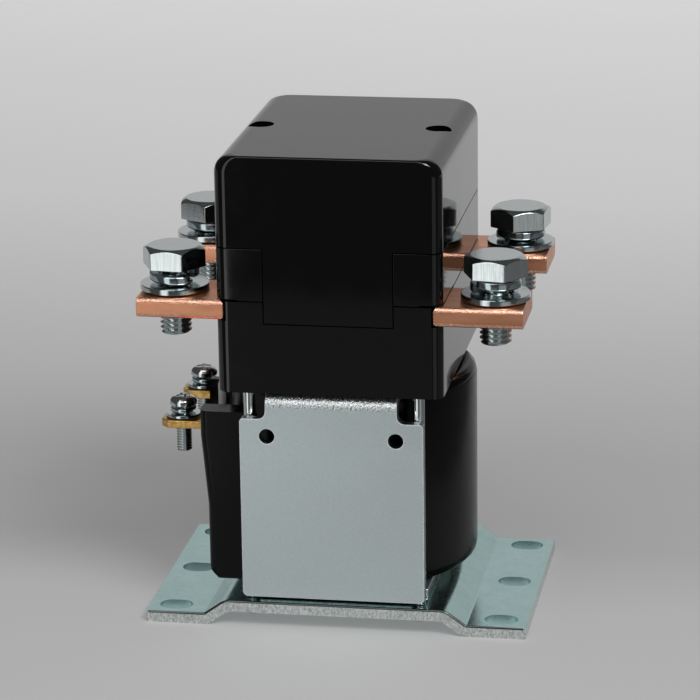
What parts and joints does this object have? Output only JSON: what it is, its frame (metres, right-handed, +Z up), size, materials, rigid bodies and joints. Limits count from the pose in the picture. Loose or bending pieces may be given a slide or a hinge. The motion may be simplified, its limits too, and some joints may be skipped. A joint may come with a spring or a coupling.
{
  "type": "high voltage dc contactor",
  "caption": "Solenoid contactor for high direct voltage: coil in a folded steel yoke on a slotted bracket, black contact housing on top, copper busbars with hexagon bolts out of both sides.",
  "frame": {"origin": "centre of the bracket's footprint, on the surface that it stands on", "axes": "+Z up along the solenoid's axis, +X to the right along the busbars, -Y towards the side with the yoke's leg that the picture shows"},
  "size_m": [0.0998, 0.0716, 0.1233],
  "materials": {
    "zinc_plate": "bright zinc plate on steel",
    "coil_moulding": "satin black moulding compound",
    "black_moulding": "glossy black moulding",
    "pale_moulding": "pale inner moulding",
    "winding_wire": "enamelled copper wire",
    "brass": "plain brass",
    "bare_steel": "turned steel and spring wire",
    "copper": "bright copper bar",
    "silver_alloy": "silver contact alloy",
    "ferrite": "sintered ferrite"
  },
  "bodies": {
    "frame": {"mounting_bracket": "zinc_plate", "magnet_yoke": "zinc_plate", "pole_plate": "zinc_plate", "terminal_bolt_front_left": "zinc_plate", "terminal_bolt_front_right": "zinc_plate", "terminal_bolt_rear_left": "zinc_plate", "terminal_bolt_rear_right": "zinc_plate", "lock_washer_front_left": "zinc_plate", "lock_washer_front_right": "zinc_plate", "lock_washer_rear_left": "zinc_plate", "lock_washer_rear_right": "zinc_plate", "flat_washer_front_left": "zinc_plate", "flat_washer_front_right": "zinc_plate", "flat_washer_rear_left": "zinc_plate", "flat_washer_rear_right": "zinc_plate", "coil_screw_front": "zinc_plate", "coil_screw_rear": "zinc_plate", "coil_lock_washer_front": "zinc_plate", "coil_lock_washer_rear": "zinc_plate", "coil_flat_washer_front": "zinc_plate", "coil_flat_washer_rear": "zinc_plate", "tie_screw_front_left": "zinc_plate", "tie_screw_front_right": "zinc_plate", "tie_screw_rear_left": "zinc_plate", "tie_screw_rear_right": "zinc_plate", "cover_screw_left": "zinc_plate", "cover_screw_right": "zinc_plate", "coil_body": "coil_moulding", "housing_base": "black_moulding", "housing_middle": "black_moulding", "housing_cover": "black_moulding", "coil_bobbin": "pale_moulding", "coil_winding": "winding_wire", "guide_sleeve": "brass", "coil_terminal_front": "brass", "coil_terminal_rear": "brass", "fixed_core": "bare_steel", "return_spring": "bare_steel", "busbar_front_left": "copper", "busbar_front_right": "copper", "busbar_rear_left": "copper", "busbar_rear_right": "copper", "fixed_tip_front_left": "silver_alloy", "fixed_tip_front_right": "silver_alloy", "fixed_tip_rear_left": "silver_alloy", "fixed_tip_rear_right": "silver_alloy", "blowout_magnet_front": "ferrite", "blowout_magnet_rear": "ferrite"},
    "armature": {"plunger": "bare_steel", "push_rod": "bare_steel", "contact_carrier": "pale_moulding", "contact_spring_front": "bare_steel", "contact_spring_rear": "bare_steel"},
    "bridge_front": {"bridge_front": "copper", "moving_tip_front_left": "silver_alloy", "moving_tip_front_right": "silver_alloy"},
    "bridge_rear": {"bridge_rear": "copper", "moving_tip_rear_left": "silver_alloy", "moving_tip_rear_right": "silver_alloy"}
  },
  "joints": [
    {"name": "armature_slide", "type": "slide", "parent": "frame", "child": "armature", "axis": [0, 0, -1], "range_m": [0, 0.0035], "stiffness_N_per_m": 1000, "springref_m": -0.008, "deforming": ["return_spring"]},
    {"name": "bridge_front_slide", "type": "slide", "parent": "armature", "child": "bridge_front", "axis": [0, 0, 1], "range_m": [0, 0.0012], "stiffness_N_per_m": 2500, "springref_m": -0.004, "deforming": ["contact_spring_front"]},
    {"name": "bridge_rear_slide", "type": "slide", "parent": "armature", "child": "bridge_rear", "axis": [0, 0, 1], "range_m": [0, 0.0012], "stiffness_N_per_m": 2500, "springref_m": -0.004, "deforming": ["contact_spring_rear"]}
  ]
}
